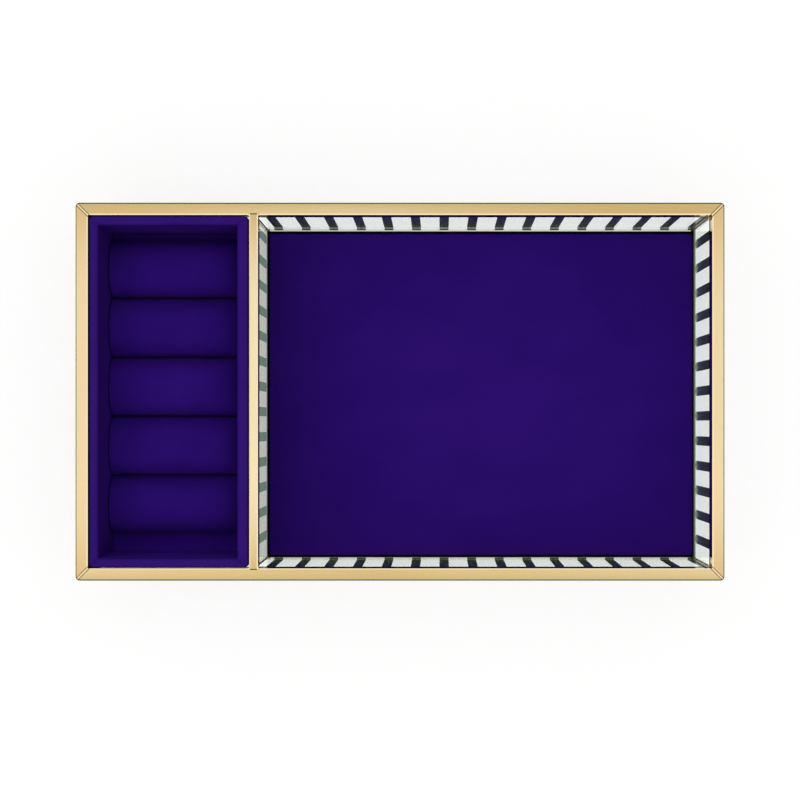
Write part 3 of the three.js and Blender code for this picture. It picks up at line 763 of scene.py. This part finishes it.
# Painted light: lighter tones for the tray floor and the inside of its front wall, and for its rim.
PAINTED_LIGHT_TONES = {"Lit_Tone": (0.054, 0.011, 0.31, 1), "Deep_Tone": (0.029, 0.0045, 0.20, 1)}
RIM_LIGHT_TONES = {"Lit_Tone": (0.046, 0.012, 0.225, 1), "Deep_Tone": (0.026, 0.0055, 0.145, 1)}
pad_velvet = velvet_material("pad_velvet_pile", 0.04, Cloud_Scale=(30, 55, 40))
roll_velvet = velvet_material("roll_velvet_pile", 0.09, Cloud_Scale=(60, 60, 60))
tray_velvet = velvet_material("tray_velvet_pile", 0.05, Cloud_Scale=(70, 70, 40))
painted_light_velvet = velvet_material("painted_light_velvet_pile", 0.05, Cloud_Scale=(70, 70, 40), **PAINTED_LIGHT_TONES)
rim_velvet = velvet_material("rim_velvet_pile", 0.06, Cloud_Scale=(70, 70, 40), **RIM_LIGHT_TONES)
print("velvet materials: pad, rolls, tray, tray floor, tray rim")

# %% [markdown]
# ## Soft shapes from loops
# The pad and the tray lining both follow a rectangle with round corners. A section, drawn as steps
# inward and upward, is carried round that rectangle as a stack of loops with equal point counts, so
# neighbouring loops join with plain quads.

# %% Loops and skins


def rounded_loop(half_x, half_y, radius, side_steps=28, corner_steps=6):
    """Points round a rectangle with round corners, always the same number of them."""
    points = []
    for turn, (sign_x, sign_y) in enumerate(((1, 1), (-1, 1), (-1, -1), (1, -1))):
        centre = Vector((sign_x * (half_x - radius), sign_y * (half_y - radius)))
        for step in range(corner_steps + 1):
            angle = (turn + step / corner_steps) * math.pi / 2
            points.append(centre + radius * Vector((math.cos(angle), math.sin(angle))))
        next_x, next_y = ((-1, 1), (-1, -1), (1, -1), (1, 1))[turn]
        start = points[-1]
        end_angle = (turn + 1) * math.pi / 2
        end_centre = Vector((next_x * (half_x - radius), next_y * (half_y - radius)))
        end = end_centre + radius * Vector((math.cos(end_angle), math.sin(end_angle)))
        points.extend(start.lerp(end, step / side_steps) for step in range(1, side_steps))
    return points


def skin_loops(loops, close_last=True, close_first=False):
    """Vertices and quads of a stack of equal loops, with end faces where asked."""
    count = len(loops[0])
    points = [point for loop in loops for point in loop]
    faces = []
    for row in range(len(loops) - 1):
        for step in range(count):
            following = (step + 1) % count
            low, high = row * count, (row + 1) * count
            faces.append((low + step, low + following, high + following, high + step))
    if close_last:
        faces.append(tuple(range((len(loops) - 1) * count, len(loops) * count)))
    if close_first:
        faces.append(tuple(reversed(range(count))))
    return points, faces


def new_piece(name, points, faces, material, smooth=True):
    """A new mesh object in the scene, made of those points and faces."""
    mesh = bpy.data.meshes.new(name)
    mesh.from_pydata([tuple(point) for point in points], [], faces)
    mesh.update()
    mesh.materials.append(material)
    mesh.polygons.foreach_set("use_smooth", [smooth] * len(mesh.polygons))
    piece = bpy.data.objects.new(name, mesh)
    bpy.context.scene.collection.objects.link(piece)
    return piece


print("points in a loop:", len(rounded_loop(1, 1, 0.1)))

# %% [markdown]
# ## Floor pad
# The pad is velvet drawn tight over thin foam on a board. It is nearly flat, with a low crown, and its
# edge rolls over softly with small waves where the cloth is pulled round the board. A cloth simulation
# could drape it, but a pad this thin and tight shows no folds, so it is modelled directly.

# %% Model the floor pad
PAD_CORNER = 1.3 * MM
PAD_EDGE_ROUND = 0.9 * MM
PAD_LEFT_BULGE = 0.8 * MM
PAD_RIGHT_BULGE = 0.3 * MM
PAD_FRONT_TUCK = 0.3 * MM
PAD_CROWN = 0.7 * MM
PAD_WAVE = 0.22 * MM
PAD_SWAY = 0.12 * MM
PAD_FADE = 6 * MM
PAD_ARC_STEPS = 6
PAD_RINGS_MM = (2.5, 4, 6, 9, 13, 18, 24, 31, 39, 48, 57, 66)


def make_floor_pad():
    low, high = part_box("pad_velvet")
    low += Vector((-PAD_LEFT_BULGE, PAD_FRONT_TUCK, 0))
    high += Vector((PAD_RIGHT_BULGE, 0, 0))
    centre = (low + high) / 2
    half = (high - low) / 2
    top = high.z - PAD_CROWN
    section = [(0.5 * MM, low.z), (0.1 * MM, low.z + 0.3 * MM)]
    for step in range(PAD_ARC_STEPS + 1):
        angle = step / PAD_ARC_STEPS * math.pi / 2
        inward = PAD_EDGE_ROUND * (1 - math.cos(angle))
        section.append((inward, top - PAD_EDGE_ROUND * (1 - math.sin(angle))))
    for inward in PAD_RINGS_MM:
        rise = 1 - (1 - inward * MM / half.y) ** 4
        section.append((inward * MM, top + PAD_CROWN * rise))
    loops = []
    for inward, height in section:
        radius = max(PAD_CORNER - inward, 0.6 * MM)
        loop = []
        fade = math.exp(-inward / PAD_FADE)
        for point in rounded_loop(half.x - inward, half.y - inward, radius, side_steps=48):
            wave = noise.noise(Vector((point.x, point.y, 0.3)) / (9 * MM)) * PAD_WAVE * fade
            sway = noise.noise(Vector((point.x, point.y, 2.0)) / (24 * MM)) * PAD_SWAY
            pull = 1 - abs(wave) / half.y
            lift = height + sway * (1 - fade)
            loop.append(Vector((centre.x + point.x * pull, centre.y + point.y * pull, lift)))
        loops.append(loop)
    points, faces = skin_loops(loops, close_first=True)
    pad = new_piece("floor_pad_velvet", points, faces, pad_velvet)
    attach(pad, "floor_pad")
    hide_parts("pad_velvet")
    print("pad points:", len(points))


make_floor_pad()

# %% [markdown]
# ## Tray lining
# The ring tray is a board box lined with velvet, which runs over the rounded rim and is turned down
# outside. One skin follows that section round the tray. At the corners the cloth is folded into a
# mitre, which leaves a small crease across the rim. The right wall is a little thicker. The board walls
# behind the cloth are a second skin round the same rectangle. Four flat walls would also do, but their
# corners would show no fold.

# %% Model the tray lining and its board walls
TRAY_CORNER = 1.7 * MM
RIM_ROUND = 1.2 * MM
TURN_DOWN = 6.0 * MM
VELVET_THICK = 0.5 * MM
CREASE_DEPTH = 0.7 * MM
CREASE_WIDTH = 0.6 * MM
RIGHT_WALL_EXTRA = 0.8 * MM
COVE = 1.5 * MM
LINING_SWAY = 0.12 * MM


def tray_box():
    low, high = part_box("tray_floor")
    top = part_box("tray_wall_front")[1].z
    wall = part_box("tray_wall_front")[1].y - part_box("tray_wall_front")[0].y
    return low, high, top, wall


def lining_section(top, wall, floor_z):
    """Steps inward and upward: up the outside, over the rim, down the inside and along the floor."""
    section = [(0.0, top - TURN_DOWN), (0.0, top - TURN_DOWN / 2), (0.0, top - RIM_ROUND)]
    for step in range(1, 7):
        angle = step / 6 * math.pi / 2
        section.append((RIM_ROUND * (1 - math.cos(angle)), top - RIM_ROUND * (1 - math.sin(angle))))
    section.append((wall / 2, top + 0.05 * MM))
    for step in range(0, 7):
        angle = step / 6 * math.pi / 2
        inward = wall - RIM_ROUND * (1 - math.sin(angle))
        section.append((inward, top - RIM_ROUND * (1 - math.cos(angle))))
    depth = top - RIM_ROUND - floor_z - COVE
    for share in (0.15, 0.35, 0.55, 0.75, 0.9):
        section.append((wall, top - RIM_ROUND - depth * share))
    for step in range(0, 5):
        angle = step / 4 * math.pi / 2
        section.append((wall + COVE * (1 - math.cos(angle)), floor_z + COVE * (1 - math.sin(angle))))
    section.extend((inward * MM, floor_z) for inward in (8, 14, 22, 29))
    return section


def make_tray_lining():
    low, high, top, wall = tray_box()
    centre = (low + high) / 2
    half = (high - low) / 2
    floor_z = high.z + VELVET_THICK
    loops = []
    for inward, height in lining_section(top, wall, floor_z):
        radius = max(TRAY_CORNER - inward, 0.5 * MM)
        loop = []
        for point in rounded_loop(half.x - inward, half.y - inward, radius, side_steps=36):
            from_corner = math.hypot(half.x - inward - abs(point.x), half.y - inward - abs(point.y))
            on_rim = max(0.0, 1 - abs(height - top) / (3 * MM))
            crease = CREASE_DEPTH * on_rim * math.exp(-((from_corner / CREASE_WIDTH) ** 2))
            sway = noise.noise(Vector((point.x, point.y, height)) / (14 * MM)) * LINING_SWAY
            if point.x > 0 and inward > wall / 2:
                point.x -= RIGHT_WALL_EXTRA
            lift = height - crease + sway * on_rim
            loop.append(Vector((centre.x + point.x, centre.y + point.y, lift)))
        loops.append(loop)
    points, faces = skin_loops(loops)
    lining = new_piece("tray_velvet_lining", points, faces, tray_velvet)
    lining.data.materials.append(painted_light_velvet)
    lining.data.materials.append(rim_velvet)
    # Painted light: the rim faces, the floor and the inside of the front wall get the lighter velvet.
    for face in lining.data.polygons:
        if face.normal.z > 0.3 and face.center.z > top - RIM_ROUND:
            face.material_index = 2
        is_front_wall = face.normal.y > 0.7 and face.center.z < top - RIM_ROUND
        if is_front_wall or face.center.z < floor_z + COVE:
            face.material_index = 1
    thicken = lining.modifiers.new("cloth_thickness", "SOLIDIFY")
    thicken.thickness = VELVET_THICK
    thicken.offset = -1
    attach(lining, "ring_tray")
    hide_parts("tray_wall_front", "tray_wall_right", "tray_wall_back", "tray_wall_left")
    print("lining points:", len(points))


def make_tray_boards():
    low, high, top, wall = tray_box()
    centre = (low + high) / 2
    half = (high - low) / 2
    skin = VELVET_THICK + 0.15 * MM
    ledge = top - TURN_DOWN - 0.2 * MM
    section = [
        (0.1 * MM, high.z),
        (0.1 * MM, ledge),
        (skin, ledge),
        (skin, top - RIM_ROUND),
        (wall - skin, top - RIM_ROUND),
        (wall - skin, high.z),
    ]
    loops = []
    for inward, height in section:
        radius = max(TRAY_CORNER - inward, 0.4 * MM)
        plan = rounded_loop(half.x - inward, half.y - inward, radius, side_steps=2)
        loops.append([Vector((centre.x + p.x, centre.y + p.y, height)) for p in plan])
    loops.append(loops[0])
    points, faces = skin_loops(loops, close_last=False)
    boards = new_piece("tray_board_walls", points, faces, pale_board, smooth=False)
    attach(boards, "ring_tray")
    print("board points:", len(points))


make_tray_lining()
make_tray_boards()

# %% [markdown]
# ## Ring rolls
# Each roll is a stuffed velvet tube, flat where it sits on the tray floor and pressed against its
# neighbours. Its section is a flattened arch on short upright sides. Its left end is square and tight
# against the tray wall. Towards the right end the stuffing thins out, so the roll slopes down there.
# A cloth simulation could blow the tube up, but stuffing this tight gives one plain curve with no
# folds, so the section is drawn directly and only small lumps are added.

# %% Model the ring rolls
ROLL_SQUARE = 2.6
ROLL_CORNER = 0.8 * MM
ROLL_LEFT_DROP = 0.4 * MM
ROLL_RIGHT_DROP = 4.8 * MM
ROLL_RIGHT_REACH = 9.0 * MM
ROLL_STEPS_ROUND = 40
ROLL_LUMP = 0.2 * MM
ROLL_END_SHARES = (0, 0.002, 0.006, 0.012, 0.02, 0.03, 0.045, 0.07, 0.1)
ROLL_STEPS_ALONG = 20


def end_round(from_end, reach):
    """Share of the rounding at that distance from the roll's end, from 1 there to 0 inside."""
    part = max(0.0, 1 - from_end / reach)
    return 1 - math.sqrt(1 - part * part)


def roll_section(half_width, low, middle, top):
    """Points over the roll from the back foot to the front foot, as steps across and heights."""
    points = [(half_width - 0.5 * MM, low), (half_width, (low + middle) / 2)]
    for step in range(ROLL_STEPS_ROUND + 1):
        angle = math.pi * step / ROLL_STEPS_ROUND
        across = math.copysign(abs(math.cos(angle)) ** (2 / ROLL_SQUARE), math.cos(angle))
        upward = math.sin(angle) ** (2 / ROLL_SQUARE)
        points.append((half_width * across, middle + (top - middle) * upward))
    points += [(-half_width, (low + middle) / 2), (0.5 * MM - half_width, low)]
    return points


def make_ring_roll(name):
    low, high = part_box(name)
    high.x -= RIGHT_WALL_EXTRA
    centre = (low + high) / 2
    half_width = (high.y - low.y) / 2
    length = high.x - low.x
    middle = high.z - half_width
    shares = list(ROLL_END_SHARES)
    shares += [0.1 + 0.8 * step / ROLL_STEPS_ALONG for step in range(1, ROLL_STEPS_ALONG)]
    shares += [1 - share for share in reversed(ROLL_END_SHARES)]
    loops = []
    for share in shares:
        along = (share - 0.5) * length
        from_end = length / 2 - abs(along)
        width = half_width - ROLL_CORNER * end_round(from_end, ROLL_CORNER)
        thinning = max(0.0, 1 - (length / 2 - along) / ROLL_RIGHT_REACH)
        top = high.z - ROLL_LEFT_DROP * end_round(from_end, ROLL_CORNER)
        top -= ROLL_RIGHT_DROP * thinning**2
        loop = []
        for across, height in roll_section(width, low.z, middle, top):
            place = Vector((centre.x + along, centre.y + across, height))
            lump = abs(noise.noise(place / (11 * MM))) * ROLL_LUMP
            place.y -= math.copysign(lump, across)
            place.z -= lump * (height - low.z) / (high.z - low.z)
            loop.append(place)
        loops.append(loop)
    points, faces = skin_loops(loops, close_first=True)
    roll = new_piece("velvet_" + name, points, faces, roll_velvet)
    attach(roll, "ring_tray")
    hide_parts(name)


roll_names = nodes_named("ring_roll")
for roll_name in roll_names:
    make_ring_roll(roll_name)
print("rolls:", roll_names)

# %% [markdown]
# ## Seals, putty, solder, corner shade and card
# Five small things finish the box. A black rubber seal lies between the rim and the top of each pane.
# A bead of pale putty closes the foot of the long panes inside; it is given a painted glow for the light
# that comes out at the foot of the panes, and painted shadow under each cut. Dark solder fills the groove
# on each side of a mitre's bright bead. Black strips of painted shade stand in the rim's two left corners,
# round the tray. A white card stands behind the divider and makes its strips look pale. Each is made of
# plain bars, which is all that shows at this size. The card stands in a slot of a millimetre, where hardly
# any light reaches, so the face behind the glass is given a glow. Light Path keeps that glow away from the
# velvet.

# %% Model the seals, the putty, the solder, the corner shade and the card
SEAL_THICK = 0.2 * MM
SEAL_GAP = 0.05 * MM
SEAL_LAP = 0.08 * MM
PUTTY_GAP = 0.05 * MM
PUTTY_HEIGHT = 0.6 * MM
PUTTY_SLOPE = 0.2
PUTTY_GLOW = 0.28
PUTTY_WIDTHS = {"glass_front": 0.45 * MM, "glass_back": 0.8 * MM}
CORNER_ROOM = 1.2 * MM
MITRE_FROM, MITRE_TO = 4.5 * MM, 0.55 * MM
SOLDER_NEAR, SOLDER_FAR = 0.37 * MM, 0.58 * MM
SOLDER_DROP, SOLDER_THICK = 0.4 * MM, 0.8 * MM
# Painted shade: black strips in the rim's two left corners.
SHADE_STRIP_HEIGHTS = (45 * MM, 48.9 * MM)
SHADE_STRIP_GAP, SHADE_STRIP_DEPTH = 0.03 * MM, 0.17 * MM
SHADE_STRIP_CORNER, SHADE_STRIP_REACH = 1.3 * MM, 4 * MM
CARD_THICK = 0.15 * MM
CARD_GAP = 0.08 * MM
CARD_GLOW = (0.82, 0.83, 0.76, 1)


def bar_points(low, high):
    """The eight corners of an upright bar: four below, then four above."""
    plan = ((low.x, low.y), (high.x, low.y), (high.x, high.y), (low.x, high.y))
    return [Vector((x, y, z)) for z in (low.z, high.z) for x, y in plan]


def bars_piece(name, bars, material):
    points, faces = [], []
    for bar in bars:
        _, bar_faces = skin_loops([bar[:4], bar[4:]], close_first=True)
        faces += [tuple(corner + len(points) for corner in face) for face in bar_faces]
        points += bar
    piece = new_piece(name, points, faces, material, smooth=False)
    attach(piece, "case")
    return piece


def make_seals():
    bars = []
    for name in ("glass_front", "glass_right", "glass_back", "glass_left"):
        low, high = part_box(name)
        if high.x - low.x > high.y - low.y:
            inward = Vector((0, -math.copysign(SEAL_LAP, low.y), 0))
        else:
            inward = Vector((-math.copysign(SEAL_LAP, low.x), 0, 0))
        foot = Vector((low.x, low.y, high.z + SEAL_GAP)) + inward
        head = Vector((high.x, high.y, high.z + SEAL_GAP + SEAL_THICK)) + inward
        bars.append(bar_points(foot, head))
    bars_piece("glass_seals", bars, black_board)


def make_putty():
    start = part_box("glass_divider")[1].x + CORNER_ROOM
    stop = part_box("glass_right")[0].x - CORNER_ROOM
    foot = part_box("base_panel")[1].z
    bars = []
    for name, width in PUTTY_WIDTHS.items():
        low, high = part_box(name)
        face, side = (high.y, 1) if high.y < 0 else (low.y, -1)
        near, far = face + side * PUTTY_GAP, face + side * width
        corner = Vector((start, min(near, far), foot))
        opposite = Vector((stop, max(near, far), foot + PUTTY_HEIGHT))
        bar = bar_points(corner, opposite)
        for top_corner in bar[4:]:
            if abs(top_corner.y - far) < 0.01 * MM:
                top_corner.z = foot + PUTTY_SLOPE * PUTTY_HEIGHT
        bars.append(bar)
    # Painted light: the putty glows for the light at the foot of the panes, with painted shadow under each
    # cut.
    putty = board_material("putty", (0.95, 0.97, 0.86, 1), (0.85, 0.87, 0.75, 1))
    shade_cuts(putty)
    add_glow(putty, PUTTY_GLOW)
    bars_piece("glass_putty", bars, putty)


def make_mitre_solder():
    """Two dark lines of solder in each mitre, just under the top, beside the bright bead."""
    corner = Vector((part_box("rim_right")[1].x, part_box("rim_back")[1].y))
    inner = corner - Vector((MITRE_FROM, MITRE_FROM))
    outer = corner - Vector((MITRE_TO, MITRE_TO))
    bars = []
    for sign_x, sign_y, side in product((-1, 1), repeat=3):
        start = Vector((sign_x * inner.x, sign_y * inner.y))
        end = Vector((sign_x * outer.x, sign_y * outer.y))
        across = side * (end - start).orthogonal().normalized()
        plan = [start + across * SOLDER_NEAR, end + across * SOLDER_NEAR]
        plan += [end + across * SOLDER_FAR, start + across * SOLDER_FAR]
        heights = (RIM_TOP - SOLDER_DROP - SOLDER_THICK, RIM_TOP - SOLDER_DROP)
        bars.append([Vector((p.x, p.y, z)) for z in heights for p in plan])
    bars_piece("mitre_solder", bars, lacquer)


def make_corner_shade_strips():
    """A black strip of painted shade inside each left corner of the rim, thickest in the corner itself."""
    corner_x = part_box("rim_left")[1].x
    plan = [(SHADE_STRIP_GAP, SHADE_STRIP_GAP), (SHADE_STRIP_REACH, SHADE_STRIP_GAP)]
    plan += [(SHADE_STRIP_REACH, SHADE_STRIP_DEPTH), (SHADE_STRIP_CORNER, SHADE_STRIP_DEPTH)]
    plan += [(across, along) for along, across in reversed(plan[1:])]
    points, faces = [], []
    for corner_y, turn in ((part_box("rim_front")[1].y, 1), (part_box("rim_back")[0].y, -1)):
        outline = [(corner_x + x, corner_y + turn * y) for x, y in plan[::turn]]
        loops = [[Vector((x, y, z)) for x, y in outline] for z in SHADE_STRIP_HEIGHTS]
        shade_strip_points, shade_strip_faces = skin_loops(loops, close_first=True)
        faces += [tuple(corner + len(points) for corner in face) for face in shade_strip_faces]
        points += shade_strip_points
    shade_strips = new_piece("corner_shade_strips", points, faces, black_board, smooth=False)
    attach(shade_strips, "case")


def make_lit_card():
    material = board_material("lit_card", (0.04, 0.04, 0.04, 1), (0.03, 0.03, 0.03, 1))
    tree = material.node_tree
    shader = tree.nodes["Principled BSDF"]
    shader.inputs["Emission Strength"].default_value = 1.0
    path = tree.nodes.new("ShaderNodeLightPath")
    after_cloth = math_node(tree, "GREATER_THAN", path.outputs["Diffuse Depth"], 0.5)
    glow = mix_colours(tree, after_cloth, CARD_GLOW, (0.0, 0.0, 0.0, 1))
    tree.links.new(glow, shader.inputs["Emission Color"])
    return material


def make_divider_card():
    low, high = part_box("glass_divider")
    skirt_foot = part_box("divider_cap")[0].z
    back = low.x - CARD_GAP
    corner = Vector((back - CARD_THICK, low.y + CORNER_ROOM / 2, low.z))
    opposite = Vector((back, high.y - CORNER_ROOM / 2, skirt_foot - 0.1 * MM))
    card = bars_piece("divider_card", [bar_points(corner, opposite)], pale_board)
    card.data.materials.append(make_lit_card())
    for face in card.data.polygons:
        if face.normal.x > 0.9:
            face.material_index = 1


make_seals()
make_putty()
make_mitre_solder()
make_corner_shade_strips()
make_divider_card()
print("seals, putty, solder, felt and card are in place")
